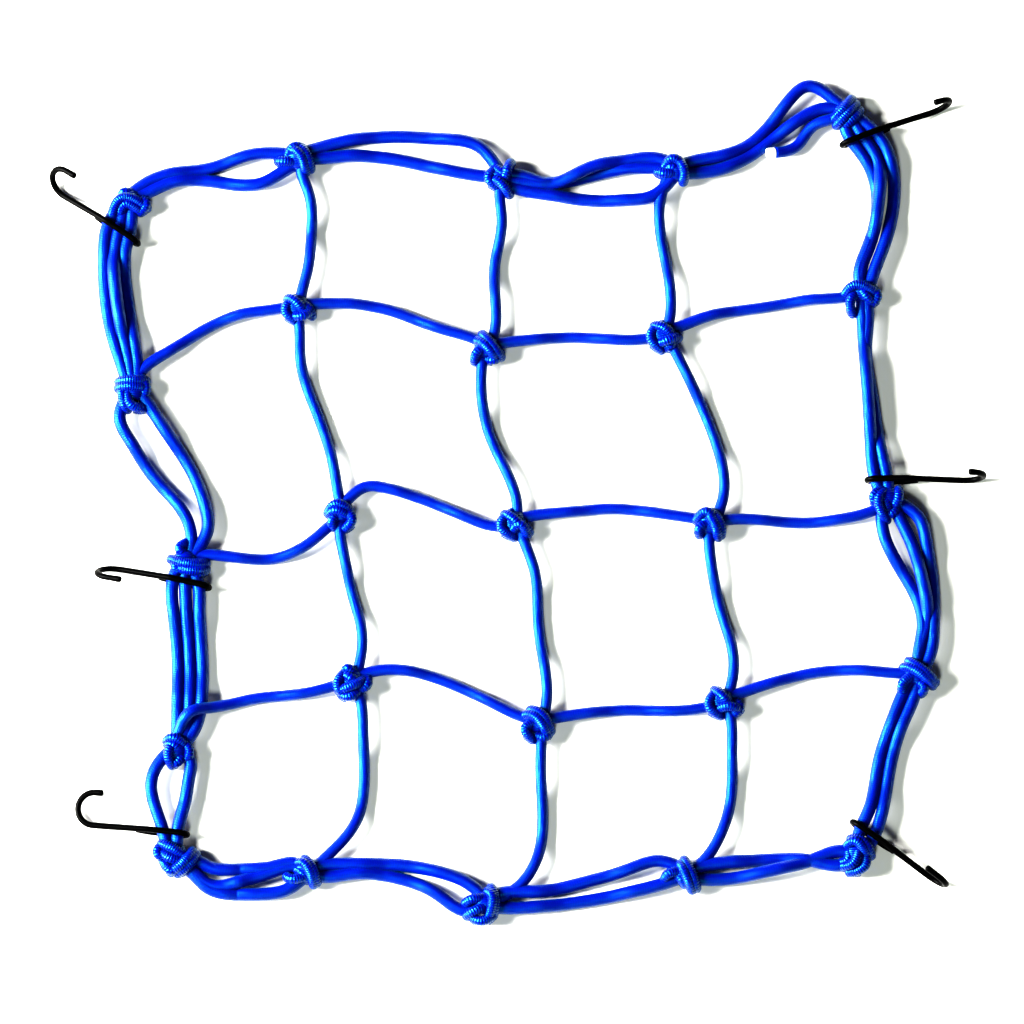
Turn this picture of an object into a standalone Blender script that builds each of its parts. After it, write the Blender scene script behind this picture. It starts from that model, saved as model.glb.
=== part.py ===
"""Luggage net: a 5 x 5 knotted net of braided elastic cord with six coated wire hooks.

The net lies slack on a surface, with +X to the right, +Y away and +Z up. The origin is on the
surface, under the middle of the whole thing. Lengths are in metres, and the tables below are in
millimetres and degrees.
"""

import math

import bmesh
import bpy
import numpy as np
from mathutils import Matrix, Vector

MM = 0.001
CLEAR = 0.3 * MM  # between pieces that touch on the real net
WELD = 0.01 * MM  # points closer than this are one

# Cord and knots
CORD = 5.0 * MM  # thickness of the elastic cord
CORD_SIDES = 6
STRAND_STEPS = 7
WRAP_STEPS = 6
KNOT_MID = 5.9 * MM  # height of the middle of every knot
KNOT_RADIUS = 6.0 * MM  # the packed middle of a knot, seen from above
KNOT_HEIGHT = 6.9 * MM  # its half height before the surface flattens it
KNOT_SIDES = 8
WRAP_RISE = 3.8 * MM  # how far a wrap's middle line rises over the middle of its knot
WRAP_TUCK = 55  # degrees that a wrap runs on under the knot at each end
REST = 2.8 * MM  # height of a cord that lies on the surface
OVER = 8.2 * MM  # height of a cord that lies on another
STAY = 22 * MM  # a strand keeps the height of its knot this far from the knot's middle,
SINK = 14 * MM  # and then sinks to its own height over this length
END_IN = 3.0 * MM  # a strand starts this far from the middle of its knot
NET_FACES = 11000  # budget of triangles

MIDDLE = (0.3 * MM, -0.35 * MM)  # moves the tables below so that the whole is centred

# Hooks
WIRE = 2.8 * MM  # wire with its coating
WIRE_SIDES = 10
BEND_STEPS = 12
SHARP = 50  # degrees between faces that show as an edge
EYE_GAP = 5.7 * MM  # clear height inside the eye
EYE_STRAIGHT = 18.8 * MM  # where the eye's lower wire starts to close, from the eye's end
EYE_LENGTH = 24.6 * MM  # to the wire's cut end, from the eye's end
EYE_SHUT = 3.3 * MM  # the cut end lies this far under the shaft, middle to middle
J_RADIUS = 7.4 * MM  # bend of the J, to the wire's middle
EYE_FLOOR = 1.65 * MM  # height of the eye's lower wire

# Name, middle across, middle away
KNOTS = (
    ("A0", -175.5, 136.5),
    ("A1", -99.0, 156.0),
    ("A2", -7.5, 147.0),
    ("A3", 71.5, 151.0),
    ("A4", 148.5, 177.0),
    ("B0", -173.5, 49.0),
    ("B1", -99.5, 87.5),
    ("B2", -14.0, 69.0),
    ("B3", 65.5, 75.0),
    ("B4", 156.0, 94.5),
    ("C0", -149.5, -29.0),
    ("C1", -79.5, -6.0),
    ("C2", -1.5, -11.5),
    ("C3", 86.5, -11.5),
    ("C4", 166.5, -0.5),
    ("D0", -153.0, -114.0),
    ("D1", -74.5, -83.5),
    ("D2", 9.0, -102.0),
    ("D3", 91.5, -92.5),
    ("D4", 179.0, -80.5),
    ("E0", -153.0, -162.5),
    ("E1", -94.5, -169.5),
    ("E2", -14.5, -184.0),
    ("E3", 74.5, -170.5),
    ("E4", 152.0, -162.5),
)

# How far along a strand its sideways bows are given, from knot to knot
STATIONS = (0.1, 0.25, 0.5, 0.75, 0.9)
ENDS_SHARE = 0.4  # share of the nearest bow that a strand keeps at its knot,
ENDS_MOST = 2.0  # and the most of it
ENDS_DENSER = 0.4  # how much closer together a strand's points are near its knots

# From knot, to knot, five bows to the left of the straight line, height between the knots
STRANDS = (
    ("B0", "B1", 6.5, 8.5, 10.5, 8, 3.5, REST),
    ("B1", "B2", 3.5, 6.5, 7.5, 4, 3, REST),
    ("B2", "B3", 1.5, 2, 2, -1, -1.5, REST),
    ("B3", "B4", 2, 4, 3, 1.5, -0.5, REST),
    ("C0", "C1", 0.5, -3.5, -10.5, -9.5, -5, REST),
    ("C1", "C2", 10.5, 12, 7.5, 0.5, -2, REST),
    ("C2", "C3", 3.5, 5, 7, 4.5, 2.5, REST),
    ("C3", "C4", 0.5, -1, -5, -6, -4.5, REST),
    ("D0", "D1", 11, 11.5, 8.5, 2.5, 1, REST),
    ("D1", "D2", 6.5, 10, 9, 4, 1, REST),
    ("D2", "D3", 1, 1.5, 1, -2, -2, REST),
    ("D3", "D4", 2.5, 5, 7.5, 5, 2, REST),
    ("A1", "B1", 1.5, 5, 6, 4.5, 2, REST),
    ("B1", "C1", -1, -3.5, -1.5, 1, 0.5, REST),
    ("C1", "D1", -1, 0, 3, 6, 4, REST),
    ("D1", "E1", 6.5, 10.5, 16, 15, 7.5, REST),
    ("A2", "B2", 0, 2, 0.5, 2.5, 3, REST),
    ("B2", "C2", -3.5, -5.5, -4.5, 1, 2.5, REST),
    ("C2", "D2", 3.5, 6.5, 5.5, 6, 5, REST),
    ("D2", "E2", 4, 7.5, 14.5, 16, 10, REST),
    ("A3", "B3", -4.5, -6, -2.5, 2, 2.5, REST),
    ("B3", "C3", 3.5, 6.5, 10.5, 11.5, 8, REST),
    ("C3", "D3", -1, -0.5, 2.5, 6.5, 5, REST),
    ("D3", "E3", 6, 9, 13, 12, 7.5, REST),
    ("A0", "A1", 6.5, 9, 6.5, 7, 4.5, REST),
    ("A0", "A1", 1, 3, -1, -7, -4, REST),
    ("A1", "A2", 6, 11, 15, 15.5, 12, REST),
    ("A1", "A2", 1, 3.5, 4, 1, 0, REST),
    ("A2", "A3", 1, -3.5, 2, 5.5, 5.5, OVER),
    ("A2", "A3", -2, -3.5, -1, 1.5, 1, REST),
    ("A2", "A3", -5.5, -8.5, -12, -13, -10, REST),
    ("A3", "A4", 1, -0.5, 2.5, 15, 15, REST),
    ("A3", "A4", -4.5, -6.5, -2.5, 4, 5, REST),
    ("A4", "B4", 11, 17.5, 17, 9, 4.5, REST),
    ("A4", "B4", 5, 11, 10.5, 4, -1, OVER),
    ("A4", "B4", -1, 5, 9, 2.5, -1, REST),
    ("B4", "C4", -1.5, -2.5, -3.5, -4.5, -4, OVER),
    ("B4", "C4", 1, -1.5, -1.5, -0.5, 2, REST),
    ("C4", "D4", 11, 14, 14, 11, 7.5, REST),
    ("C4", "D4", 3.5, 7, 9.5, 7.5, 2, OVER),
    ("C4", "D4", -4, -3.5, 4, 6, 2, REST),
    ("D4", "E4", -3, -4, -4, -1.5, -2.5, REST),
    ("D4", "E4", 2, 1, 1.5, 4.5, 4, REST),
    ("E4", "E3", 3.5, 0.5, -2.5, -3, -2.5, REST),
    ("E4", "E3", -3, -0.5, 3, 4.5, 3.5, OVER),
    ("E3", "E2", -7, -6, -3, -2, -3.5, REST),
    ("E3", "E2", 3, 4.5, 5.5, 5, 3.5, REST),
    ("E2", "E1", -7, -10, -10.5, -7, -4.5, REST),
    ("E2", "E1", 5, 0.5, -4.5, -2.5, 1, REST),
    ("E1", "E0", -3, -0.5, 2.5, 3, -0.5, REST),
    ("E1", "E0", -1.5, 2, 8.5, 10.5, 4, OVER),
    ("E1", "E0", 8, 12, 14, 12, 5, REST),
    ("E0", "D0", 4, 6, 10, 10.5, 6.5, REST),
    ("E0", "D0", -0.5, -1, -4, -6, -6, REST),
    ("D0", "C0", 0, 0.5, 1.5, 4.5, 5, REST),
    ("D0", "C0", -5.5, -5, -4, -1.5, -0.5, REST),
    ("D0", "C0", -11, -10.5, -9.5, -7.5, -6, REST),
    ("C0", "B0", -5.5, -6, 2, 8, 8.5, REST),
    ("C0", "B0", -12, -16, -14.5, -8.5, -5, REST),
    ("B0", "A0", 6, 9, 12, 12, 9, REST),
    ("B0", "A0", 0.5, 3.5, 6.5, 6.5, 3.5, REST),
    ("B0", "A0", -5, -2, 1, 1.5, -1, REST),
)

# The free end of the cord: across and away from the middle of its knot, and height
TAIL_KNOT = "A4"
TAIL = (
    (-1.5, -2.0, 5.9),
    (-8.0, -3.5, 5.9),
    (-14.0, -5.5, 4.6),
    (-18.0, -9.5, 3.2),
    (-22.0, -14.8, 3.0),
    (-27.5, -17.6, 4.2),
    (-32.0, -18.4, 5.6),
)
CORD_END_LENGTH = 3.6 * MM  # the sealed end of the cord
CORD_END_RADIUS = 2.7 * MM
CORD_END_SIDES = 16

# Knot, middle of the wrap across and away from the knot's middle, turn, half length
WRAPS = (
    ("A0", -3.5, 0.5, 55, 6.5),
    ("A0", 4.5, 0.5, -60, 5.5),
    ("A1", 0.0, 0.5, -65, 7.0),
    ("A1", 4.5, 0.5, -65, 5.5),
    ("A2", 3.5, 3.5, 80, 5.0),
    ("A2", 1.0, -3.0, -45, 6.0),
    ("A3", 2.5, 1.0, -75, 7.0),
    ("A3", -4.0, -4.0, 60, 5.5),
    ("A4", -2.0, 1.0, 48, 7.5),
    ("A4", 3.0, -1.5, 50, 7.0),
    ("B0", 0.0, 4.0, 4, 7.5),
    ("B0", -1.0, -4.5, 100, 5.0),
    ("B1", -4.5, -1.0, 90, 5.5),
    ("B1", 1.0, 1.5, -35, 6.5),
    ("B2", 0.0, 1.0, -40, 7.5),
    ("B2", -4.0, -3.5, 60, 4.5),
    ("B3", -4.5, -1.0, 90, 5.5),
    ("B3", 1.0, 1.5, -35, 6.5),
    ("B4", 2.5, 0.5, -15, 7.5),
    ("B4", -2.0, -5.0, 80, 5.0),
    ("C0", 1.0, 1.5, -8, 8.5),
    ("C0", 2.0, -3.5, -5, 8.0),
    ("C1", -1.0, 2.0, 10, 6.5),
    ("C1", 5.0, -1.0, 95, 5.0),
    ("C2", -4.5, -1.0, 90, 5.5),
    ("C2", 1.0, 1.5, -35, 6.5),
    ("C3", 0.0, 1.0, -40, 7.5),
    ("C3", -4.0, -3.5, 60, 4.5),
    ("C4", -3.5, 2.6, 40, 5.0),
    ("C4", 5.0, 1.2, 70, 3.2),
    ("D0", -1.0, 4.5, -10, 5.0),
    ("D0", -2.5, -2.5, 75, 5.5),
    ("D1", 0.0, -3.0, -20, 6.5),
    ("D1", -4.5, 1.5, 80, 5.0),
    ("D2", 0.0, 1.0, -40, 7.5),
    ("D2", -4.0, -3.5, 60, 4.5),
    ("D3", -4.7, -1.3, 86, 5.5),
    ("D3", 1.0, 1.5, -35, 6.5),
    ("D4", 1.0, 1.5, -45, 8.0),
    ("D4", -5.0, -4.5, 60, 5.0),
    ("E0", 5.0, -3.0, 50, 5.5),
    ("E0", -3.0, 1.0, -50, 6.0),
    ("E1", 1.0, 1.0, -80, 7.0),
    ("E1", -5.0, -3.0, 0, 4.0),
    ("E2", 3.5, 1.5, -85, 6.5),
    ("E2", -4.5, -1.5, 25, 5.0),
    ("E3", 1.0, 1.0, -75, 8.0),
    ("E3", -5.5, -0.5, 60, 4.0),
    ("E4", 1.0, 4.0, -10, 6.0),
    ("E4", 0.0, -3.0, 60, 6.5),
)

# Name, eye's end across and away, heading from eye to J, turn of the J about its shaft (0 is to
# the left, 90 up, 180 to the right), height of the shaft's lower end, length over all from the
# eye's end to the bend of the J, and length of the tip back from the bend
HOOKS = (
    ("hook_top_left", -170.2, 115.8, 146.2, 125, 2.1, 50.9, 14.4),
    ("hook_top_right", 145.5, 161.5, 21.2, 86, 2.0, 53, 11.6),
    ("hook_mid_left", -137.2, -41.3, 167.5, 63, 2.2, 51.2, 16.0),
    ("hook_mid_right", 155.8, 8.0, 0.8, 85, 2.0, 53, 11),
    ("hook_bottom_left", -146.4, -153.2, 174, 175, 3.8, 53, 12.8),
    ("hook_bottom_right", 148.7, -146.6, -35, 88, 2.0, 50.8, 15.5),
)

BLUE = (0.004, 0.055, 0.75)
PALE = (0.86, 0.87, 0.84)
BLACK = (0.006, 0.006, 0.007)


def clear_scene():
    for item in list(bpy.data.objects):
        bpy.data.objects.remove(item, do_unlink=True)


def make_material(name, colour, roughness, metallic=0.0):
    material = bpy.data.materials.new(name)
    material.use_nodes = True
    shader = material.node_tree.nodes["Principled BSDF"]
    shader.inputs["Base Color"].default_value = (*colour, 1.0)
    shader.inputs["Roughness"].default_value = roughness
    shader.inputs["Metallic"].default_value = metallic
    return material


def smooth_line(stations, values, where):
    """A natural cubic spline: the curve through the values with no bend at its two ends."""
    x = np.asarray(stations, float)
    y = np.asarray(values, float)
    step = np.diff(x)
    slope = np.diff(y) / step
    system = np.eye(len(x))
    bend = np.zeros(len(x))
    for i in range(1, len(x) - 1):
        system[i, i - 1 : i + 2] = step[i - 1], 2 * (step[i - 1] + step[i]), step[i]
        bend[i] = 6 * (slope[i] - slope[i - 1])
    bend = np.linalg.solve(system, bend)
    i = np.clip(np.searchsorted(x, where) - 1, 0, len(step) - 1)
    t = where - x[i]
    first = slope[i] - step[i] * (2 * bend[i] + bend[i + 1]) / 6
    return y[i] + t * (first + t * (bend[i] / 2 + t * (bend[i + 1] - bend[i]) / (6 * step[i])))


def smooth_step(share):
    share = np.clip(share, 0, 1)
    return share * share * (3 - 2 * share)


def knot_middles():
    return {name: np.array((x, y)) * MM + MIDDLE for name, x, y in KNOTS}


def strand_route(start, end, bows, height):
    """Points of one strand: the straight line from knot to knot, pushed aside by its bows."""
    along = end - start
    length = math.hypot(*along)
    along = along / length
    left = np.array((-along[1], along[0]))
    even = np.linspace(0, 1, STRAND_STEPS + 1)
    eased = even - ENDS_DENSER * np.sin(2 * math.pi * even) / (2 * math.pi)
    share = END_IN / length + (1 - 2 * END_IN / length) * eased
    stations = (0.0, *STATIONS, 1.0)
    first, last = np.clip((bows[0] * ENDS_SHARE, bows[-1] * ENDS_SHARE), -ENDS_MOST, ENDS_MOST)
    sides = (first, *bows, last)
    aside = smooth_line(stations, sides, share) * MM
    plan = start + np.outer(share * length, along) + np.outer(aside, left)
    to_knot = np.minimum(share, 1 - share) * length
    z = KNOT_MID + (height - KNOT_MID) * smooth_step((to_knot - STAY) / SINK)
    return np.column_stack((plan, z))


def wrap_route(middle, turn, half_length):
    """Most of an upright oval round the knot's middle, open underneath."""
    angle = np.radians(np.linspace(-WRAP_TUCK, 180 + WRAP_TUCK, WRAP_STEPS + 1))
    out = half_length * MM * np.cos(angle)
    heading = math.radians(turn)
    x = middle[0] + out * math.cos(heading)
    y = middle[1] + out * math.sin(heading)
    return np.column_stack((x, y, KNOT_MID + WRAP_RISE * np.sin(angle)))


def tube(name, route, diameter, sides):
    """A round tube along the route, as a mesh with welded caps."""
    curve = bpy.data.curves.new(name, "CURVE")
    curve.dimensions = "3D"
    curve.bevel_depth = diameter / 2
    curve.bevel_resolution = sides // 2 - 2
    curve.use_fill_caps = True
    spline = curve.splines.new("POLY")
    spline.points.add(len(route) - 1)
    for point, place in zip(spline.points, route):
        point.co = (*place, 1.0)
    guide = bpy.data.objects.new(name + "_route", curve)
    bpy.context.scene.collection.objects.link(guide)
    graph = bpy.context.evaluated_depsgraph_get()
    mesh = bpy.data.meshes.new_from_object(guide.evaluated_get(graph))
    made = bpy.data.objects.new(name, mesh)
    made.matrix_world = guide.matrix_world
    bpy.data.objects.remove(guide)
    bpy.data.curves.remove(curve)
    shape = bmesh.new()
    shape.from_mesh(mesh)
    bmesh.ops.remove_doubles(shape, verts=shape.verts, dist=WELD)
    bmesh.ops.recalc_face_normals(shape, faces=shape.faces)
    shape.to_mesh(mesh)
    shape.free()
    return made


def knot_core(name, middle):
    """The packed middle of a knot: a ball that is a little taller than it is wide."""
    mesh = bpy.data.meshes.new(name)
    shape = bmesh.new()
    bmesh.ops.create_uvsphere(
        shape, u_segments=KNOT_SIDES, v_segments=KNOT_SIDES // 2, radius=1.0
    )
    place = Matrix.Translation((middle[0], middle[1], KNOT_MID))
    size = Matrix.Diagonal((KNOT_RADIUS, KNOT_RADIUS, KNOT_HEIGHT, 1.0))
    bmesh.ops.transform(shape, matrix=place @ size, verts=shape.verts)
    shape.to_mesh(mesh)
    shape.free()
    return bpy.data.objects.new(name, mesh)


def net_pieces():
    """Every strand, knot and wrap of the net, as separate closed meshes."""
    middles = knot_middles()
    pieces = []
    for name, middle in middles.items():
        pieces.append(knot_core("core_" + name, middle))
    for i, (name, x, y, turn, half_length) in enumerate(WRAPS):
        middle = middles[name] + np.array((x, y)) * MM
        route = wrap_route(middle, turn, half_length)
        pieces.append(tube(f"wrap_{i}", route, CORD, CORD_SIDES))
    for i, (start, end, *bows, height) in enumerate(STRANDS):
        route = strand_route(middles[start], middles[end], bows, height)
        pieces.append(tube(f"strand_{i}", route, CORD, CORD_SIDES))
    route = np.array(TAIL) * MM + (*middles[TAIL_KNOT], 0.0)
    pieces.append(tube("tail", route, CORD, CORD_SIDES))
    return pieces


def fused(name, pieces, collection, helpers):
    """One solid of all the pieces."""
    first, others = pieces[0], pieces[1:]
    for piece in others:
        piece.hide_render = True
        piece.display_type = "WIRE"
        helpers.objects.link(piece)
    first.name = name
    collection.objects.link(first)
    union = first.modifiers.new("fuse", "BOOLEAN")
    union.operation = "UNION"
    union.solver = "EXACT"
    union.operand_type = "COLLECTION"
    union.collection = helpers
    bpy.context.view_layer.update()
    graph = bpy.context.evaluated_depsgraph_get()
    mesh = bpy.data.meshes.new_from_object(first.evaluated_get(graph))
    first.modifiers.remove(union)
    first.data = mesh
    return first


def keep_main_body(item):
    """Drops the crumbs that the union leaves in the corners between crossing cords."""
    shape = bmesh.new()
    shape.from_mesh(item.data)
    unseen = set(shape.faces)
    main = []
    while unseen:
        body = [unseen.pop()]
        for face in body:
            near = {other for edge in face.edges for other in edge.link_faces} & unseen
            unseen -= near
            body.extend(near)
        main = max(main, body, key=len)
    crumbs = list(set(shape.faces) - set(main))
    bmesh.ops.delete(shape, geom=crumbs, context="FACES")
    shape.to_mesh(item.data)
    shape.free()


def thin_out(item, most_faces):
    """Collapses the smallest faces, such as the slivers where the cords meet, down to a budget."""
    item.data.calc_loop_triangles()
    thin = item.modifiers.new("thin", "DECIMATE")
    thin.decimate_type = "COLLAPSE"
    thin.ratio = min(1.0, most_faces / len(item.data.loop_triangles))
    bpy.context.view_layer.update()
    graph = bpy.context.evaluated_depsgraph_get()
    mesh = bpy.data.meshes.new_from_object(item.evaluated_get(graph))
    item.modifiers.remove(thin)
    item.data = mesh


def flatten_underside(item):
    """Cuts the item level with the surface and closes the cut."""
    shape = bmesh.new()
    shape.from_mesh(item.data)
    every = shape.verts[:] + shape.edges[:] + shape.faces[:]
    cut = bmesh.ops.bisect_plane(
        shape, geom=every, plane_co=(0, 0, 0), plane_no=(0, 0, -1), clear_outer=True
    )
    rim = [edge for edge in cut["geom_cut"] if isinstance(edge, bmesh.types.BMEdge)]
    bmesh.ops.holes_fill(shape, edges=rim)
    bmesh.ops.recalc_face_normals(shape, faces=shape.faces)
    shape.to_mesh(item.data)
    shape.free()


def make_net(collection, helpers, material):
    net = fused("net", net_pieces(), collection, helpers)
    keep_main_body(net)
    thin_out(net, NET_FACES)
    flatten_underside(net)
    keep_main_body(net)
    net.data.materials.clear()
    net.data.materials.append(material)
    net.data.shade_smooth()
    return net


def make_cord_end(collection, material):
    """The sealed end of the cord: a short round plug on the tail."""
    middles = knot_middles()
    before, last = (np.array(row) * MM + (*middles[TAIL_KNOT], 0.0) for row in TAIL[-2:])
    way = Vector(last - before).normalized()
    mesh = bpy.data.meshes.new("cord_end")
    shape = bmesh.new()
    bmesh.ops.create_cone(
        shape,
        cap_ends=True,
        segments=CORD_END_SIDES,
        radius1=CORD_END_RADIUS,
        radius2=CORD_END_RADIUS,
        depth=CORD_END_LENGTH,
    )
    turn = way.to_track_quat("Z", "Y").to_matrix().to_4x4()
    middle = Vector(last) + way * (CLEAR + CORD_END_LENGTH / 2)
    bmesh.ops.transform(shape, matrix=Matrix.Translation(middle) @ turn, verts=shape.verts)
    shape.to_mesh(mesh)
    shape.free()
    mesh.materials.append(material)
    item = bpy.data.objects.new("cord_end", mesh)
    collection.objects.link(item)
    return item


def arc(middle, radius, first, last):
    """Points on an arc in the hook's own plane, from first to last in degrees."""
    angle = np.radians(np.linspace(first, last, BEND_STEPS + 1))
    return np.column_stack(
        (middle[0] + radius * np.cos(angle), middle[1] + radius * np.sin(angle))
    )


def hook_route(eye_end, heading, j_turn, foot_height, length, tip_length):
    """The wire's middle line: cut end, closed eye under the shaft, sloping shaft, open J."""
    eye_radius = (EYE_GAP + WIRE) / 2
    eye_top = EYE_FLOOR + 2 * eye_radius
    turn_in = WIRE / 2 + eye_radius
    shaft_end = length - WIRE / 2 - J_RADIUS
    slope = math.atan2(eye_top - foot_height, shaft_end - EYE_STRAIGHT)
    cut_end = (EYE_LENGTH, eye_top - (EYE_LENGTH - EYE_STRAIGHT) * math.tan(slope) - EYE_SHUT)
    half_shut = ((EYE_STRAIGHT + EYE_LENGTH) / 2, (EYE_FLOOR + cut_end[1]) / 2)
    eye = arc((turn_in, EYE_FLOOR + eye_radius), eye_radius, 270, 90)
    level = np.vstack((cut_end, half_shut, (EYE_STRAIGHT, EYE_FLOOR), eye))
    level = np.vstack((level, (EYE_STRAIGHT, eye_top)))
    ahead = Vector((math.cos(heading), math.sin(heading), 0))
    up = Vector((0, 0, 1))
    base = Vector((*eye_end, 0))
    points = [base + ahead * u + up * z for u, z in level]
    down = (ahead * math.cos(slope) - up * math.sin(slope)).normalized()
    left = up.cross(ahead)
    across = left * math.cos(j_turn) + left.cross(down) * -math.sin(j_turn)
    foot = base + ahead * shaft_end + up * foot_height
    bend = arc((0, J_RADIUS), J_RADIUS, -90, 90)
    tip = (-(tip_length - WIRE / 2 - J_RADIUS), 2 * J_RADIUS)
    for u, v in (*bend, tip):
        points.append(foot + down * u + across * v)
    return [tuple(point) for point in points]


def make_hook(collection, material, name, x, y, heading, j_turn, *lengths):
    eye_end = (x * MM + MIDDLE[0], y * MM + MIDDLE[1])
    foot, length, tip = (value * MM for value in lengths)
    route = hook_route(eye_end, math.radians(heading), math.radians(j_turn), foot, length, tip)
    hook = tube(name, route, WIRE, WIRE_SIDES)
    hook.data.materials.append(material)
    hook.data.shade_smooth()
    hook.data.set_sharp_from_angle(angle=math.radians(SHARP))
    collection.objects.link(hook)
    return hook


def main():
    clear_scene()
    scene = bpy.context.scene.collection
    parts = bpy.data.collections.new("luggage_net")
    helpers = bpy.data.collections.new("luggage_net_helpers")
    scene.children.link(parts)
    scene.children.link(helpers)
    blue = make_material("blue_braided_cord", BLUE, 0.45)
    pale = make_material("sealed_cord_end", PALE, 0.5)
    black = make_material("black_coated_wire", BLACK, 0.25)
    make_net(parts, helpers, blue)
    make_cord_end(parts, pale)
    for row in HOOKS:
        make_hook(parts, black, *row)


main()
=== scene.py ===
"""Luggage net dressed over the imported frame: braided cord, tied knots, coated wire hooks.

+X is to the right, +Y away and +Z up. Tables are in millimetres and degrees, all else in metres.
"""

import math

import bpy
import numpy as np
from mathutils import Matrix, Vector


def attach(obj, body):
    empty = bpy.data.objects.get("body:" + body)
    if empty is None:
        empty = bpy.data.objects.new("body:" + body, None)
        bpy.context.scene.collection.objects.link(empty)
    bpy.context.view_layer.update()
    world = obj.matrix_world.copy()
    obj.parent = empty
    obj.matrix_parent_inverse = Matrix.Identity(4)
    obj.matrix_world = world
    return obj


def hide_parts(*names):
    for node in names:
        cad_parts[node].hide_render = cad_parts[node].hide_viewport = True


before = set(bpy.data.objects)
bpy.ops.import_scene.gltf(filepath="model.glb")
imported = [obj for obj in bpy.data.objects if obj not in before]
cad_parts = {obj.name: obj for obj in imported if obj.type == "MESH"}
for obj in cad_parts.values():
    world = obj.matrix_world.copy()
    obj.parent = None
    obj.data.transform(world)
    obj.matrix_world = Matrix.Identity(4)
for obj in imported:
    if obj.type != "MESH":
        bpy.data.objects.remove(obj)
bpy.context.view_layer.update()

MM = 0.001
MIDDLE = np.array((0.3, -0.35)) * MM  # moves the tables below so that the whole is centred
UP = (0, 0, 1)

# Cord and strands
COVER = 5.15 * MM  # cord with its braided cover
EDGE_FULLER = 1.13  # the doubled cords of the rim lie less stretched
SWELL = 0.008  # how much a cord's thickness wanders, as a share of it,
SWELL_LENGTHS = (11 * MM, 23 * MM, 41 * MM)  # and the lengths over which it does
KNOT_MID = 4.9 * MM  # height of the strands inside a knot
REST = 2.6 * MM  # height of a cord that lies on the surface
OVER = 7.6 * MM  # height of a cord that lies on another
STAY = 22 * MM  # a strand keeps the height of its knot this far from the knot's middle,
SINK = 14 * MM  # and then sinks to its own height over this length
STATIONS = (0.1, 0.25, 0.5, 0.75, 0.9)  # shares of a strand's way where its five bows stand
END_IN = 0.5 * MM  # from the middle of a knot to the end of its strands
ENDS_SHARE = 0.4  # share of its outer bows that a strand keeps at its ends,
ENDS_MOST = 2.0  # in millimetres at most
LIFTS = {("D0", "D1"): 5.0 * MM}  # how far a cord rises over its neighbour beside its first knot
LIFT_AT = 12 * MM  # from that knot's middle to the top of the rise
LIFT_RUN = 8 * MM  # from the top to where about a third of the rise is left
STRAND_STEP = 1.1 * MM
STRAND_SIDES = 24
STRAND_SHIFT = 0.37  # moves the braid on from one strand to the next, so that no two are alike
TAIL_POINTS = 80
TAIL_CAP = 0.02  # depth of the tail's end dome, as a share of its radius

# Turns of the knots
TURN_CORD = 4.5 * MM
TURN_SIDE = 4.6 * MM  # height at which a turn passes the two sides of its knot
TURN_FLOOR = 2.4 * MM  # height of a turn under its knot
TURN_TUCK = 62  # degrees that a turn runs on under its knot at either end
TURN_POINTS = 400
TURN_STEP = 0.2 * MM
TURN_SIDES = 20
TURN_SHIFT = 0.53  # as STRAND_SHIFT, from one turn to the next
RIB_PITCH = 0.95 * MM
RIB_HEIGHT = 0.13 * MM
RIB_COLUMNS = 2  # zigzags of the ribs round the cord
RIB_SLANT = 0.3  # share of the pitch that a zigzag takes up
RIB_SUNK = 0.6  # share of a rib's height that lies below the cord's mean surface
RIB_FADE = 0.3  # share of a rib's height that comes and goes
FADE_LENGTHS = (2.3 * MM, 3.7 * MM)  # lengths of the two sines that fade them
FADE_TURN = 4  # radians by which the second sine turns on round the cord
CORE_MID = 5.2 * MM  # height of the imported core's middle
CORE_SIZE = np.array((5.8, 5.8, 4.8)) * MM

# Hooks, as in the solids
WIRE = 2.8 * MM
EYE_GAP = 5.7 * MM  # height of the room inside the eye
EYE_STRAIGHT = 18.8 * MM  # from the eye's end to where its two sides start to close
EYE_LENGTH = 24.6 * MM  # from the eye's end to the wire's cut end
EYE_SHUT = 3.3 * MM  # from the shaft's middle line down to the cut end
EYE_FLOOR = 1.65 * MM  # height of the wire's middle line under the cords
J_RADIUS = 7.4 * MM
J_LOOK = 30  # points of the route between those that give the plane of the J
TWIST_FROM = 12.0 * MM  # before the J, where its plane starts to take over from the eye's
TWIST_RUN = 10.0 * MM  # and the length over which it does
WIRE_STEP = 0.3 * MM
WIRE_SOFTEN = 11  # points along the wire over which a corner is averaged
WIRE_SIDES = 20
WIRE_SEED = 90  # the first wire's, and one more for each of the others
CUT_ROUND = 0.9 * MM  # length over which the coating rounds off a cut end
CUT_LEAST = 0.02  # least square of the radius at a cut end, as a share
DRIP = 0.05  # the coating runs a little thicker at the J's cut end
DRIP_AT = 2.0 * MM  # from the cut end to the thickest place
DRIP_RUN = 1.2 * MM
WIRE_CAP = 0.3  # depth of the end domes, as a share of the radius there

# The cut end of the cord
PLUG_GAP = 0.3 * MM  # from the end of the tail's middle line
PLUG_LENGTH = 3.6 * MM
PLUG_RADIUS = 2.5 * MM
PLUG_ROUND = 0.35  # share by which the radius's square falls off to the tip
PLUG_WAVER = 0.05 * MM
PLUG_STEPS = 16
PLUG_SIDES = 32
PLUG_CAP = 0.12

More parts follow.
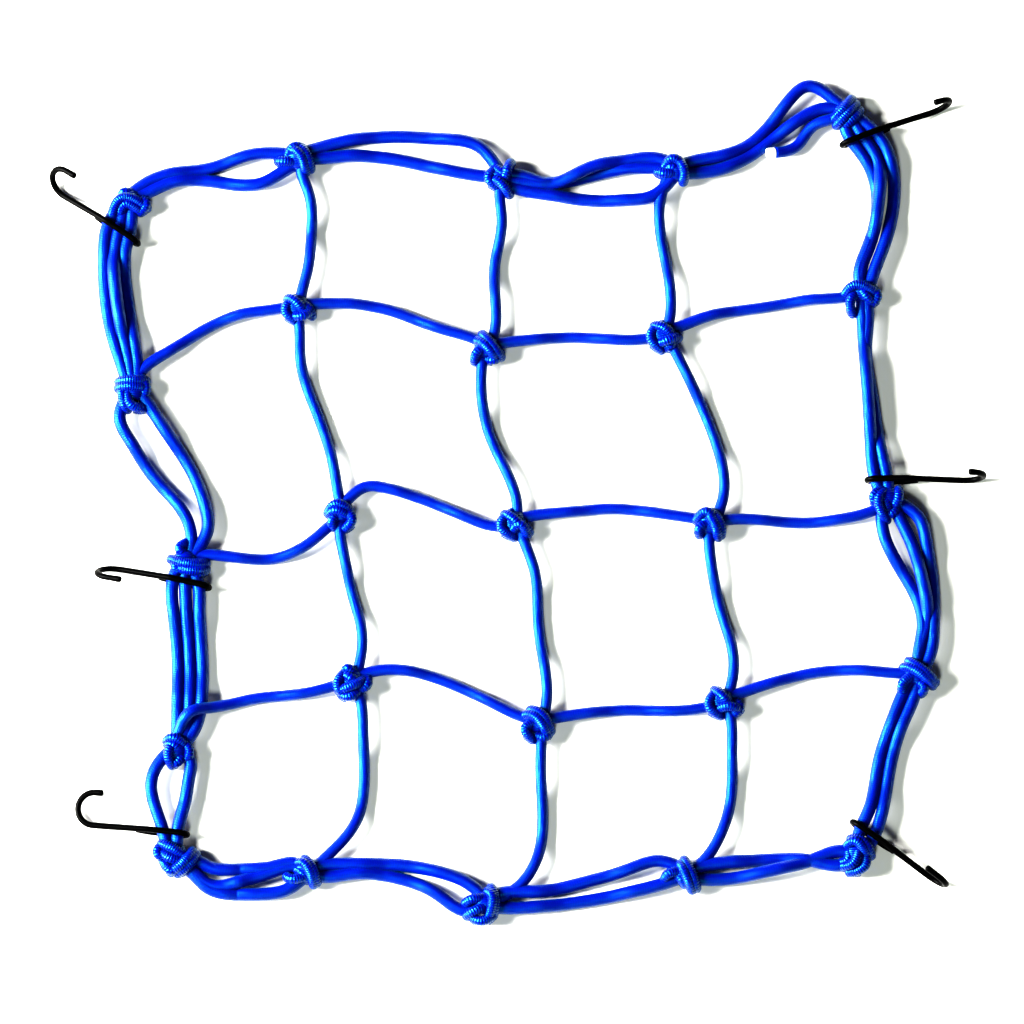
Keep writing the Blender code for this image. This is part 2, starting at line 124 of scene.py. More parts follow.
# Colours of the cord's cover and of the wires' coating
YARN_DEEP = (0.0001, 0.0014, 0.17, 1)
YARN_LIGHT = (0.0002, 0.0030, 0.24, 1)
# Painted shade: navy laid into the grooves between the braid's ribs, where shade falls
GROOVE_PAINTED_SHADE = (0.0, 0.0006, 0.09, 1)
YARN_GLOSS = (0.04, 0.82, 1.0, 1)
YARN_SHEEN = (0.03, 0.75, 1.0, 1)
COATING_DARK = (0.0003, 0.0003, 0.0004, 1)
COATING_WORN = (0.0008, 0.0008, 0.001, 1)
MELTED_PALE = (0.93, 0.94, 0.90, 1)
MELTED_GREY = (0.70, 0.74, 0.74, 1)

# Scales of the patterns: grains to a turn round the cord and to a metre along it, or to a metre
FILAMENTS = (60.0, 9000.0, 1.0)
STREAKS = (26.0, 130.0, 1.0)
PATCHES = 45.0
SPECKS = 900.0
ORANGE_PEEL = 1400.0
RUBBER_CELLS = 1500.0

# Camera and floor
VIEW_WIDTH = 460.8 * MM  # what the picture shows across
VIEW_AWAY = 5.0
VIEW_TILT = 80  # degrees above the surface
VIEW_AIM = np.array((-2.2, -6.3, 2.6)) * MM  # the point in the picture's middle
SENSOR = 36  # millimetres, as is the lens
FLOOR_HALF = 6.0

# Name, middle across, middle away
KNOTS = (
    ("A0", -175.5, 136.5),
    ("A1", -99.0, 156.0),
    ("A2", -7.5, 147.0),
    ("A3", 71.5, 151.0),
    ("A4", 148.5, 177.0),
    ("B0", -173.5, 49.0),
    ("B1", -99.5, 87.5),
    ("B2", -14.0, 69.0),
    ("B3", 65.5, 75.0),
    ("B4", 156.0, 94.5),
    ("C0", -149.5, -29.0),
    ("C1", -79.5, -6.0),
    ("C2", -1.5, -11.5),
    ("C3", 86.5, -11.5),
    ("C4", 166.5, -0.5),
    ("D0", -153.0, -114.0),
    ("D1", -74.5, -83.5),
    ("D2", 9.0, -102.0),
    ("D3", 91.5, -92.5),
    ("D4", 179.0, -80.5),
    ("E0", -153.0, -162.5),
    ("E1", -94.5, -169.5),
    ("E2", -14.5, -184.0),
    ("E3", 74.5, -170.5),
    ("E4", 152.0, -162.5),
)

# From knot, to knot, five bows to the left of the straight line, height between the knots
STRANDS = (
    ("B0", "B1", 6.5, 8.5, 10.5, 8, 3.5, REST),
    ("B1", "B2", 3.5, 6.5, 7.5, 4, 3, REST),
    ("B2", "B3", 1.5, 2, 2, -1, -1.5, REST),
    ("B3", "B4", 2, 4, 3, 1.5, -0.5, REST),
    ("C0", "C1", 0.5, -3.5, -10.5, -9.5, -5, REST),
    ("C1", "C2", 10.5, 12, 7.5, 0.5, -2, REST),
    ("C2", "C3", 3.5, 5, 7, 4.5, 2.5, REST),
    ("C3", "C4", 0.5, -1, -5, -6, -4.5, REST),
    ("D0", "D1", 11, 11.5, 8.5, 2.5, 1, REST),
    ("D1", "D2", 6.5, 10, 9, 4, 1, REST),
    ("D2", "D3", 1, 1.5, 1, -2, -2, REST),
    ("D3", "D4", 2.5, 5, 7.5, 5, 2, REST),
    ("A1", "B1", 1.5, 5, 6, 4.5, 2, REST),
    ("B1", "C1", -1, -3.5, -1.5, 1, 0.5, REST),
    ("C1", "D1", -1, 0, 3, 6, 4, REST),
    ("D1", "E1", 6.5, 10.5, 16, 15, 7.5, REST),
    ("A2", "B2", 0, 2, 0.5, 2.5, 3, REST),
    ("B2", "C2", -3.5, -5.5, -4.5, 1, 2.5, REST),
    ("C2", "D2", 3.5, 6.5, 5.5, 6, 5, REST),
    ("D2", "E2", 4, 7.5, 14.5, 16, 10, REST),
    ("A3", "B3", -4.5, -6, -2.5, 2, 2.5, REST),
    ("B3", "C3", 3.5, 6.5, 10.5, 11.5, 8, REST),
    ("C3", "D3", -1, -0.5, 2.5, 6.5, 5, REST),
    ("D3", "E3", 6, 9, 13, 12, 7.5, REST),
    ("A0", "A1", 5.5, 7.5, 6, 7, 4.5, REST),
    ("A0", "A1", 1.5, 3.5, -0.5, -7, -4, REST),
    ("A1", "A2", 6, 11, 15, 15.5, 12, REST),
    ("A1", "A2", 1, 3.5, 4, 1, 0, REST),
    ("A2", "A3", 1, -3.5, 2, 5.5, 5.5, OVER),
    ("A2", "A3", -2, -3.5, -1, 1.5, 1, REST),
    ("A2", "A3", -5.5, -8.5, -12, -13, -10, REST),
    ("A3", "A4", 1, -0.5, 2.5, 15, 15, REST),
    ("A3", "A4", -4.5, -6.5, -2.5, 4, 5, REST),
    ("A4", "B4", 11, 17.5, 18, 11.5, 5.5, REST),
    ("A4", "B4", 5, 11.5, 11, 4.8, -0.5, OVER),
    ("A4", "B4", -0.5, 6, 10.5, 4.2, -1, REST),
    ("B4", "C4", -1.5, -2.5, -3.5, -4.8, -4.5, OVER),
    ("B4", "C4", 1, -1.5, -1.5, -0.6, 0.8, REST),
    ("C4", "D4", 11, 14, 14, 11, 7.5, REST),
    ("C4", "D4", 3.5, 7, 9.5, 7.5, 2, OVER),
    ("C4", "D4", -4, -3.5, 4, 6, 2, REST),
    ("D4", "E4", -3, -4, -4, -1.5, -2.5, REST),
    ("D4", "E4", 2, 1, 1.5, 4.5, 4, REST),
    ("E4", "E3", 3.5, 0.5, -2.5, -3, -2.5, REST),
    ("E4", "E3", -3, -0.5, 3, 4.5, 3.5, OVER),
    ("E3", "E2", -7, -6, -3, -2, -3.5, REST),
    ("E3", "E2", 3, 4.5, 5.5, 5, 3.5, REST),
    ("E2", "E1", -7, -10, -10.5, -7, -4.5, REST),
    ("E2", "E1", 5, 0.5, -4.5, -2.5, 1, REST),
    ("E1", "E0", -3, -0.5, 2.5, 3, -0.5, REST),
    ("E1", "E0", -1.5, 2, 8.5, 10.5, 4, OVER),
    ("E1", "E0", 8, 12, 14, 12, 5, REST),
    ("E0", "D0", 4, 6, 10, 10.5, 6.5, REST),
    ("E0", "D0", -0.5, -1, -4, -6, -6, REST),
    ("D0", "C0", 0, 0.5, 1.5, 4.5, 5, REST),
    ("D0", "C0", -4, -5, -4, -1.5, -0.5, REST),
    ("D0", "C0", -7.5, -10.2, -9.5, -7.5, -6, REST),
    ("C0", "B0", -5.5, -6, 2, 8, 8.5, REST),
    ("C0", "B0", -12, -16, -14.5, -8.5, -5, REST),
    ("B0", "A0", 3.8, 7.8, 11.6, 11.8, 8.8, REST),
    ("B0", "A0", 0.8, 3.2, 6.6, 6.8, 3.8, OVER),
    ("B0", "A0", -2.2, -1.2, 1.8, 2.0, -0.8, REST),
)

# The free end of the cord: across and away from the middle of its knot, and height
TAIL_KNOT = "A4"
TAIL = (
    (-1.5, -2.0, 5.9),
    (-8.0, -3.5, 5.9),
    (-14.0, -5.5, 4.6),
    (-18.0, -9.5, 3.2),
    (-22.0, -14.8, 3.0),
    (-27.5, -17.6, 4.2),
    (-32.0, -18.4, 5.6),
)

# Knot, then where a turn starts, passes its crest and ends, each across and away from the
# knot's middle, and the height of the crest
TURNS = (
    ("A0", -7.7, -7.2, -2.5, 0.6, 8.1, -3.5, 9.6),
    ("A0", -4.0, -6.3, -1.1, -2.2, 5.0, -4.9, 8.6),
    ("A0", -3.1, 2.0, -2.0, 3.5, 1.4, 2.9, 7.5),
    ("A0", 3.6, 0.6, 7.7, -1.7, 5.0, -5.3, 7.5),
    ("A1", -3.6, 3.3, 0.5, 1.0, 3.4, -6.0, 10.0),
    ("A1", -0.9, 5.6, 3.6, 1.2, 5.4, -4.9, 8.8),
    ("A1", -4.7, 1.1, -2.2, 4.8, 2.2, 4.5, 8.0),
    ("A1", -9.2, -1.5, -5.9, -1.9, -0.9, -1.7, 8.2),
    ("A2", 2.0, -0.3, 2.9, 2.6, 4.5, 6.8, 10.0),
    ("A2", -2.0, 3.8, -5.6, -0.5, -1.4, -4.4, 8.2),
    ("A2", -3.8, -1.0, 0.0, -3.2, 3.8, -7.6, 9.4),
    ("A2", -3.1, 4.5, 0.5, 1.8, 1.8, -0.8, 8.0),
    ("A3", -5.0, 0.6, -0.9, 4.1, 3.6, 0.6, 9.6),
    ("A3", 0.5, 4.5, 3.6, -0.8, 3.4, -5.8, 10.0),
    ("A3", -8.1, -1.5, -4.5, -2.4, 0.9, -1.5, 8.4),
    ("A3", -4.0, -0.8, -1.4, 0.4, 1.4, -1.7, 8.2),
    ("A4", -5.6, -3.1, -1.4, 0.6, 2.9, 6.3, 9.8),
    ("A4", -4.0, -5.6, 0.2, -1.9, 4.7, 3.8, 9.8),
    ("A4", -0.9, -5.8, 3.1, -3.3, 6.3, 1.1, 8.4),
    ("B0", -6.3, 4.0, -0.5, 4.2, 6.1, 4.5, 9.8),
    ("B0", -6.5, 1.1, -0.9, 1.4, 6.3, 1.1, 9.8),
    ("B0", -4.7, 1.1, -4.3, -4.2, -2.2, -8.5, 8.4),
    ("B0", -1.6, 1.1, -1.1, -6.1, 5.0, -8.1, 9.0),
    ("B0", 3.6, 6.1, 6.1, 1.9, 5.0, -1.7, 7.6),
    ("B1", -0.9, 4.0, -5.2, -1.7, -0.9, -6.5, 8.4),
    ("B1", -4.3, 3.6, -0.5, 1.7, 3.4, -2.6, 10.0),
    ("B1", -1.6, -4.0, 2.5, -4.8, 6.3, -1.7, 9.4),
    ("B1", 0.5, 0.6, 4.5, -0.4, 6.8, -4.0, 7.6),
    ("B2", -4.3, 2.9, 0.0, -0.4, 4.3, -5.3, 10.0),
    ("B2", -1.8, 5.9, 2.5, 0.4, 6.5, -4.4, 9.4),
    ("B2", 0.0, -0.8, -4.3, -2.8, -5.4, -6.7, 8.4),
    ("B2", 0.4, -5.4, 3.9, -5.6, 6.3, -2.7, 6.4),
    ("B3", -0.5, 4.5, -5.6, -1.4, -0.5, -7.4, 8.4),
    ("B3", -4.0, 3.6, 0.5, 2.2, 4.5, -1.2, 9.8),
    ("B3", -1.4, -4.4, 2.7, -3.3, 7.0, -1.5, 9.8),
    ("B3", 0.9, 0.6, 3.6, -4.4, 1.4, -6.3, 7.0),
    ("B4", -8.2, -1.4, -2.4, 2.4, 6.3, -1.4, 9.9),
    ("B4", -2.6, -0.6, -5.9, -5.0, -4.8, -10.2, 8.6),
    ("B4", 3.6, 2.0, 6.3, -2.1, 3.6, -5.3, 7.2),
    ("B4", -0.9, 0.6, 0.9, -1.9, 4.0, -4.9, 8.6),
    ("C0", -6.3, 1.1, 1.4, -1.5, 9.5, -0.8, 9.9),
    ("C0", -3.6, -2.8, 3.1, -4.6, 9.5, -3.3, 9.4),
    ("C0", 0.9, 3.3, -2.5, 5.5, 0.5, 8.6, 8.0),
    ("C0", -4.7, -0.8, -3.8, -3.6, -3.4, -4.7, 7.4),
    ("C0", 3.6, -4.9, 6.3, -5.5, 9.0, -4.0, 7.0),
    ("C1", -5.9, -1.0, -1.4, 2.6, 4.5, -0.8, 9.8),
    ("C1", -5.2, -1.7, -1.4, -0.3, 3.6, -2.6, 9.6),
    ("C1", 0.0, 1.1, 5.0, -3.7, 1.8, -8.1, 8.2),
    ("C1", -0.9, -1.2, -3.8, -4.5, -3.1, -7.2, 7.8),
    ("C2", -0.9, 4.9, -6.1, -1.5, 0.0, -6.5, 8.6),
    ("C2", -4.3, 4.0, -0.2, 1.3, 3.6, -2.1, 9.8),
    ("C2", -0.9, -4.0, 2.7, -1.4, 5.9, -5.3, 9.6),
    ("C2", 0.0, 0.6, 3.6, -1.3, 6.8, -4.0, 7.8),
    ("C3", -6.1, 1.1, -1.4, 4.5, 2.2, -0.3, 9.6),
    ("C3", -1.4, 4.5, 2.0, -1.3, 3.6, -6.3, 10.0),
    ("C3", 0.9, 5.2, 4.5, -0.6, 5.0, -5.3, 8.6),
    ("C3", 0.0, -0.3, -4.5, -2.4, -4.7, -5.3, 8.6),
    ("C4", -1.8, 4.0, -6.3, 1.1, -4.5, -2.6, 8.4),
    ("C4", -0.5, 3.3, -4.3, -1.7, -0.5, -9.5, 9.6),
    ("C4", 4.9, 4.0, 4.7, -0.2, 2.9, -3.1, 9.0),
    ("C4", -3.1, 2.9, -0.9, -1.4, 0.5, -5.8, 8.0),
    ("C4", -0.9, -6.3, 2.2, -6.7, 4.0, -3.5, 7.0),
    ("D0", -4.3, 3.3, -0.5, 4.1, 4.5, 1.1, 9.6),
    ("D0", -0.5, 2.4, -3.4, -2.5, -1.8, -7.4, 9.0),
    ("D0", -3.8, 1.5, -0.9, 1.3, 2.2, -0.8, 8.6),
    ("D0", -1.4, -6.7, 0.9, -6.2, 2.7, -3.1, 7.0),
    ("D0", 3.6, 2.9, 5.9, -1.3, 5.0, -4.9, 7.4),
    ("D1", -3.1, 3.3, -1.6, 5.4, 1.4, 3.3, 8.2),
    ("D1", -2.2, 4.3, -6.3, -1.5, -2.7, -6.3, 8.8),
    ("D1", -5.6, -4.0, 0.0, -2.9, 5.9, 0.6, 10.0),
    ("D1", -4.3, -6.3, -0.5, -7.1, 3.1, -4.0, 8.0),
    ("D1", 3.1, -3.5, 6.8, -2.3, 6.8, 1.5, 7.8),
    ("D1", -3.1, 2.9, -0.5, 1.2, 2.2, -0.3, 9.2),
    ("D2", -5.6, 2.9, 0.0, 1.0, 4.3, -5.8, 9.9),
    ("D2", -3.1, 5.4, 2.2, 2.5, 5.9, -4.0, 9.2),
    ("D2", 0.5, -0.3, -5.6, -3.3, -2.2, -8.1, 8.8),
    ("D2", -0.9, -5.3, 2.7, -7.1, 5.4, -4.0, 6.6),
    ("D3", -1.4, 4.7, -5.9, -1.9, -0.5, -6.7, 8.6),
    ("D3", -3.4, 4.9, 0.5, 1.5, 3.6, -2.1, 9.8),
    ("D3", -1.4, -4.0, 3.1, -3.0, 8.1, -4.0, 9.6),
    ("D3", 5.4, -0.3, 8.1, -3.0, 5.4, -5.8, 7.0),
    ("D4", -5.9, 3.3, 0.5, 0.8, 7.2, -4.9, 9.9),
    ("D4", -3.6, 6.1, 2.7, 1.6, 8.3, -3.5, 9.4),
    ("D4", 0.5, 0.1, -5.9, -3.8, -6.1, -8.1, 8.8),
    ("D4", 0.0, -3.1, 3.1, -5.9, 1.8, -8.5, 7.6),
    ("E0", -6.5, 5.2, -1.8, 3.1, 4.5, -0.3, 9.6),
    ("E0", -5.9, 4.7, -8.1, 0.9, -4.0, -1.7, 7.8),
    ("E0", -6.8, 2.0, -2.2, -1.5, 2.7, -1.7, 8.8),
    ("E0", -5.4, -2.6, -2.2, -6.9, 2.2, -5.3, 8.0),
    ("E0", -2.2, -7.6, 3.6, -3.7, 7.7, 2.0, 9.6),
    ("E0", 0.9, -8.1, 5.9, -4.6, 9.2, 0.6, 8.4),
    ("E1", -3.6, 3.6, 0.5, 1.5, 3.4, -6.0, 10.0),
    ("E1", -0.9, 5.6, 2.9, 0.7, 4.7, -5.1, 9.0),
    ("E1", -8.6, -2.4, -5.0, -4.0, 0.5, -1.7, 8.4),
    ("E1", -4.0, 0.6, -1.4, -1.3, 0.5, -4.0, 7.6),
    ("E2", 1.1, 5.2, 3.4, 1.0, 1.4, -6.7, 10.0),
    ("E2", 2.7, 7.0, 4.5, 0.8, 3.6, -4.9, 8.8),
    ("E2", -8.8, -0.3, -5.4, 1.5, 0.0, 2.0, 8.8),
    ("E2", -8.3, -5.8, -4.0, -3.6, 0.5, -1.5, 9.0),
    ("E2", -5.9, -6.3, -1.4, -8.2, 3.6, -5.3, 7.6),
    ("E3", -1.8, 4.3, 0.7, -1.3, 3.6, -7.6, 10.0),
    ("E3", 0.0, 6.1, 3.6, -1.1, 5.4, -6.7, 9.2),
    ("E3", -9.0, -3.1, -6.3, -0.3, -0.9, 0.6, 8.6),
    ("E3", -3.6, -0.8, -1.4, -2.6, 0.5, -4.9, 7.4),
    ("E4", -4.7, 4.3, 0.0, 5.6, 4.7, -0.8, 10.0),
    ("E4", -3.1, 7.4, 2.7, 5.8, 6.1, 0.1, 8.8),
    ("E4", 0.5, 3.3, -1.4, -3.4, -6.8, -4.9, 9.4),
    ("E4", 3.1, 1.5, 3.1, -5.1, -3.6, -7.6, 8.2),
    ("E4", -4.0, 2.4, -4.0, -1.7, -6.8, -3.1, 7.2),
)

# Name, eye's end across and away, heading from eye to J, turn of the J about its shaft, height
# of the shaft's lower end, length over all and length of the tip back from the bend
HOOKS = (
    ("hook_top_left", -170.2, 115.8, 146.2, 125, 2.1, 50.9, 14.4),
    ("hook_top_right", 145.5, 161.5, 21.2, 86, 2.0, 53, 11.6),
    ("hook_mid_left", -137.2, -41.3, 167.5, 63, 2.2, 51.2, 16.0),
    ("hook_mid_right", 155.8, 8.0, 0.8, 85, 2.0, 53, 11),
    ("hook_bottom_left", -146.4, -153.2, 174, 175, 3.8, 53, 12.8),
    ("hook_bottom_right", 148.7, -146.6, -35, 88, 2.0, 50.8, 15.5),
)


def smooth_line(stations, values, where):
    """Natural cubic spline through the values: piecewise cubics with equal slopes and bends where
    they meet, and no bend at the two ends. values may have several columns."""
    x = np.asarray(stations, float)
    y = np.asarray(values, float).reshape(len(x), -1)
    step = np.diff(x)
    slope = np.diff(y, axis=0) / step[:, None]
    system = np.eye(len(x))
    bend = np.zeros_like(y)
    for i in range(1, len(x) - 1):
        system[i, i - 1 : i + 2] = step[i - 1], 2 * (step[i - 1] + step[i]), step[i]
        bend[i] = 6 * (slope[i] - slope[i - 1])
    bend = np.linalg.solve(system, bend)
    i = np.clip(np.searchsorted(x, where) - 1, 0, len(step) - 1)
    t = (where - x[i])[:, None]
    s = step[i][:, None]
    first = slope[i] - s * (2 * bend[i] + bend[i + 1]) / 6
    line = y[i] + t * (first + t * (bend[i] / 2 + t * (bend[i + 1] - bend[i]) / (6 * s)))
    return line[:, 0] if np.ndim(values) == 1 else line


def smooth_step(share):
    """0 below 0, 1 above 1, and the cubic 3 s^2 - 2 s^3 between."""
    share = np.clip(share, 0, 1)
    return share * share * (3 - 2 * share)


def unit(rows):
    """Each row divided by its length."""
    return rows / np.linalg.norm(rows, axis=-1, keepdims=True)


def lengths_along(route):
    """How far along the route each of its points is: the sum of the steps before it."""
    return np.r_[0, np.cumsum(np.linalg.norm(np.diff(route, axis=0), axis=1))]


def evenly(route, step):
    """The same route with its points a step apart, measured along it."""
    lengths = lengths_along(route)
    count = max(4, int(math.ceil(lengths[-1] / step)) + 1)
    where = np.linspace(0, lengths[-1], count)
    return np.column_stack([np.interp(where, lengths, route[:, k]) for k in range(3)])


def ring_faces(rings, sides):
    """Faces of points that stand ring after ring, with one more point for each end: quads between
    a ring and the next, then a fan round each end. Also gives each quad's ring and side."""
    i, j = np.meshgrid(np.arange(rings - 1), np.arange(sides), indexing="ij")
    k = (j + 1) % sides
    quads = np.stack((i * sides + j, i * sides + k, (i + 1) * sides + k, (i + 1) * sides + j), -1)
    near, after = j[0], k[0]
    low, high = rings * sides, rings * sides + 1
    last = (rings - 1) * sides
    first_fan = np.stack((np.full(sides, low), after, near), -1)
    last_fan = np.stack((np.full(sides, high), last + near, last + after), -1)
    return i, j, quads.reshape(-1, 4), np.vstack((first_fan, last_fan))


class Mesh:
    """Collects closed tubes and balls, each worked out as whole arrays, for one mesh object."""

    def __init__(self):
        self.points, self.quads, self.tris, self.count = [], [], [], 0

    def add(self, points, quads, tris, quad_uv, tri_uv):
        """Takes up a shape, with its faces numbered on from the points before it."""
        self.points.append(points)
        self.quads.append((quads + self.count, quad_uv))
        self.tris.append((tris + self.count, tri_uv))
        self.count += len(points)

    def tube(self, route, radius, sides, side_guide, ribs=None, cap_depth=0.35, start=0.0):
        """A round profile carried along the route. The point at angle a of ring i is the route's
        point plus radius times (side cos a + up sin a), where side is square to the way ahead
        and as near as can be to side_guide. The ends close with a shallow dome. ribs raises the
        radius by a function of the angle's share and the length along."""
        ahead = unit(np.gradient(route, axis=0))
        guide = np.broadcast_to(np.asarray(side_guide, float), route.shape)
        side = unit(guide - np.sum(guide * ahead, axis=1, keepdims=True) * ahead)
        up = np.cross(ahead, side)
        along = start + lengths_along(route)
        share = np.arange(sides) / sides
        angle = 2 * math.pi * share
        reach = np.broadcast_to(np.reshape(radius, (-1, 1)), (len(route), sides)).copy()
        if ribs is not None:
            reach += ribs(share[None, :], along[:, None])
        rings = route[:, None] + reach[..., None] * (
            side[:, None] * np.cos(angle)[None, :, None] + up[:, None] * np.sin(angle)[None, :, None]
        )
        depth = reach.mean(axis=1) * cap_depth
        ends = np.array((route[0] - ahead[0] * depth[0], route[-1] + ahead[-1] * depth[-1]))
        i, j, quads, tris = ring_faces(len(route), sides)
        quad_u = np.stack((j, j + 1, j + 1, j), -1) / sides
        quad_v = along[np.stack((i, i, i + 1, i + 1), -1)]
        j = np.arange(sides)
        fan_u = np.vstack((np.stack((j + 0.5, j + 1, j), -1), np.stack((j + 0.5, j, j + 1), -1))) / sides
        first_v = np.broadcast_to((along[0] - depth[0], along[0], along[0]), (sides, 3))
        last_v = np.broadcast_to((along[-1] + depth[-1], along[-1], along[-1]), (sides, 3))
        self.add(
            np.vstack((rings.reshape(-1, 3), ends)),
            quads,
            tris,
            np.stack((quad_u, quad_v), -1).reshape(-1, 4, 2),
            np.stack((fan_u, np.vstack((first_v, last_v))), -1),
        )

    def ball(self, middle, size, rings=14, sides=24):
        """An ellipsoid: size times (cos t cos a, cos t sin a, sin t) for the slope t and angle a."""
        slope = np.linspace(-math.pi / 2, math.pi / 2, rings + 1)[1:-1]
        angle = 2 * math.pi * np.arange(sides) / sides
        t, a = np.meshgrid(slope, angle, indexing="ij")
        shell = np.stack((np.cos(t) * np.cos(a), np.cos(t) * np.sin(a), np.sin(t)), -1)
        points = np.vstack((shell.reshape(-1, 3), (0, 0, -1), (0, 0, 1))) * size + middle
        _, _, quads, tris = ring_faces(len(slope), sides)
        place = points[:, :2] * (1 / (2 * math.pi), 1.0)
        self.add(points, quads, tris, place[quads], place[tris])

    def make(self, name, material):
        """One mesh object of all that was added, smooth, with its UV map. What would sink into the
        surface lies flat on it."""
        quads = np.vstack([q for q, _ in self.quads])
        tris = np.vstack([t for t, _ in self.tris])
        mesh = bpy.data.meshes.new(name)
        mesh.vertices.add(self.count)
        points = np.vstack(self.points)
        points[:, 2] = np.maximum(points[:, 2], 0.0)
        mesh.vertices.foreach_set("co", points.astype(np.float32).ravel())
        corners = np.r_[quads.ravel(), tris.ravel()].astype(np.int32)
        mesh.loops.add(len(corners))
        mesh.loops.foreach_set("vertex_index", corners)
        sizes = np.r_[np.full(len(quads), 4), np.full(len(tris), 3)]
        starts = np.r_[0, np.cumsum(sizes)[:-1]].astype(np.int32)
        mesh.polygons.add(len(sizes))
        mesh.polygons.foreach_set("loop_start", starts)
        uv = mesh.uv_layers.new(name="cord_uv")
        places = [p.reshape(-1, 2) for _, p in (*self.quads, *self.tris)]
        uv.data.foreach_set("uv", np.vstack(places).astype(np.float32).ravel())
        mesh.update(calc_edges=True)
        mesh.validate()
        mesh.shade_smooth()
        mesh.materials.append(material)
        item = bpy.data.objects.new(name, mesh)
        bpy.context.scene.collection.objects.link(item)
        return item


# ---------------------------------------------------------------- cord, knots and hooks

knot_middles = {name: np.array((x, y)) * MM + MIDDLE for name, x, y in KNOTS}


def strand_route(start, end, bows, height, lift):
    """Points of one strand: the straight line from knot to knot, pushed aside by a natural spline
    through its bows, and sunk from the height of the knots to its own height in between. lift adds
    a bell curve beside the first knot."""
    along = end - start
    length = math.hypot(*along)
    along = along / length
    left = np.array((-along[1], along[0]))
    share = np.linspace(END_IN / length, 1 - END_IN / length, int(length / STRAND_STEP) * 2)
    first, last = np.clip((bows[0] * ENDS_SHARE, bows[-1] * ENDS_SHARE), -ENDS_MOST, ENDS_MOST)
    aside = smooth_line((0.0, *STATIONS, 1.0), (first, *bows, last), share) * MM
    plan = start + np.outer(share * length, along) + np.outer(aside, left)
    to_knot = np.minimum(share, 1 - share) * length
    z = KNOT_MID + (height - KNOT_MID) * smooth_step((to_knot - STAY) / SINK)
    z += lift * np.exp(-(((share * length - LIFT_AT) / LIFT_RUN) ** 2))
    return evenly(np.column_stack((plan, z)), STRAND_STEP)


def is_edge(start, end):
    """True of a strand between two knots of the net's rim."""
    rows = start[0] + end[0]
    columns = start[1] + end[1]
    return rows in ("AA", "EE") or columns in ("00", "44")


def uneven(along, seed):
    """A slight change of thickness along a cord: three slow sines with seeded phases."""
    chance = np.random.default_rng(seed)
    phase = chance.uniform(0, 2 * math.pi, len(SWELL_LENGTHS))
    waves = sum(np.sin(along / length + p) for length, p in zip(SWELL_LENGTHS, phase))
    return 1 + SWELL * waves


def make_strands():
    """All cords between the knots and the free tail: round tubes along their routes, the cords of
    the rim in one piece and those inside in another."""
    edge, inner = Mesh(), Mesh()
    for seed, (start, end, *bows, height) in enumerate(STRANDS):
        lift = LIFTS.get((start, end), 0.0)
        route = strand_route(knot_middles[start], knot_middles[end], bows, height, lift)
        along = np.arange(len(route)) * STRAND_STEP
        rim = is_edge(start, end)
        radius = COVER / 2 * uneven(along, seed) * (EDGE_FULLER if rim else 1)
        into = edge if rim else inner
        into.tube(route, radius, STRAND_SIDES, UP, start=seed * STRAND_SHIFT)
    points = np.array(TAIL) * MM + (*knot_middles[TAIL_KNOT], 0.0)
    share = np.linspace(0, 1, TAIL_POINTS)
    route = evenly(smooth_line(np.linspace(0, 1, len(points)), points, share), STRAND_STEP)
    edge.tube(route, COVER / 2, STRAND_SIDES, UP, cap_depth=TAIL_CAP)
    return edge.make("net_edge_cords", cord_blue), inner.make("net_inner_cords", cord_blue)


def turn_route(row):
    """One turn of a knot, as an angle runs from under one side, over the crest, to under the other.
    The share along is (1 - cos) / 2 and places the turn in plan on a parabola through its start,
    crest and end; the height is that of the side plus rise times sin above it, drop times sin
    below it."""
    name, x0, y0, x1, y1, x2, y2, crest = row
    start, top, end = np.array(((x0, y0), (x1, y1), (x2, y2))) * MM
    pull = 2 * top - (start + end) / 2
    angle = np.radians(np.linspace(-TURN_TUCK, 180 + TURN_TUCK, TURN_POINTS))
    t = (0.5 - 0.5 * np.cos(angle))[:, None]
    plan = (1 - t) ** 2 * start + 2 * t * (1 - t) * pull + t**2 * end
    arch = np.sin(angle)
    z = TURN_SIDE + np.where(arch > 0, crest * MM - TURN_SIDE, TURN_SIDE - TURN_FLOOR) * arch
    route = np.column_stack((plan + knot_middles[name], z))
    chord = unit(end - start)
    return evenly(route, TURN_STEP), (-chord[1], chord[0], 0)


def cord_ribs(share, along):
    """Ribs of the braid round a tight turn: the root of a raised cosine along the cord, whose phase
    runs in zigzags round it, so that the ribs stand in chevrons. Two slow sines fade them."""
    zigzag = np.abs(2 * ((share * RIB_COLUMNS) % 1) - 1)
    wave = np.cos(2 * math.pi * (along / RIB_PITCH + RIB_SLANT * zigzag))
    slow, slower = FADE_LENGTHS
    patches = np.sin(along / slow) * np.sin(along / slower + FADE_TURN * share)
    fade = 1 - RIB_FADE + RIB_FADE * patches
    return RIB_HEIGHT * fade * (np.sqrt(0.5 + 0.5 * wave) - RIB_SUNK)


def make_knots():
    """A piece for each row of knots: the ribbed turns, tubes along their own routes, round a
    packed core, which is an ellipsoid."""
    made = []
    for row_name in "ABCDE":
        turns = Mesh()
        for seed, row in enumerate(TURNS):
            if row[0][0] == row_name:
                route, guide = turn_route(row)
                start = seed * TURN_SHIFT
                turns.tube(route, TURN_CORD / 2, TURN_SIDES, guide, cord_ribs, start=start)
        for name, middle in knot_middles.items():
            if name[0] == row_name:
                turns.ball((*middle, CORE_MID), CORE_SIZE)
        made.append(turns.make("net_knots_" + row_name.lower(), cord_tight))
    return made


def bent(middle, radius, first, last, steps=24):
    """Points on an arc in the hook's own plane, from first to last in degrees."""
    angle = np.radians(np.linspace(first, last, steps + 1))
    return np.column_stack((middle[0] + radius * np.cos(angle), middle[1] + radius * np.sin(angle)))


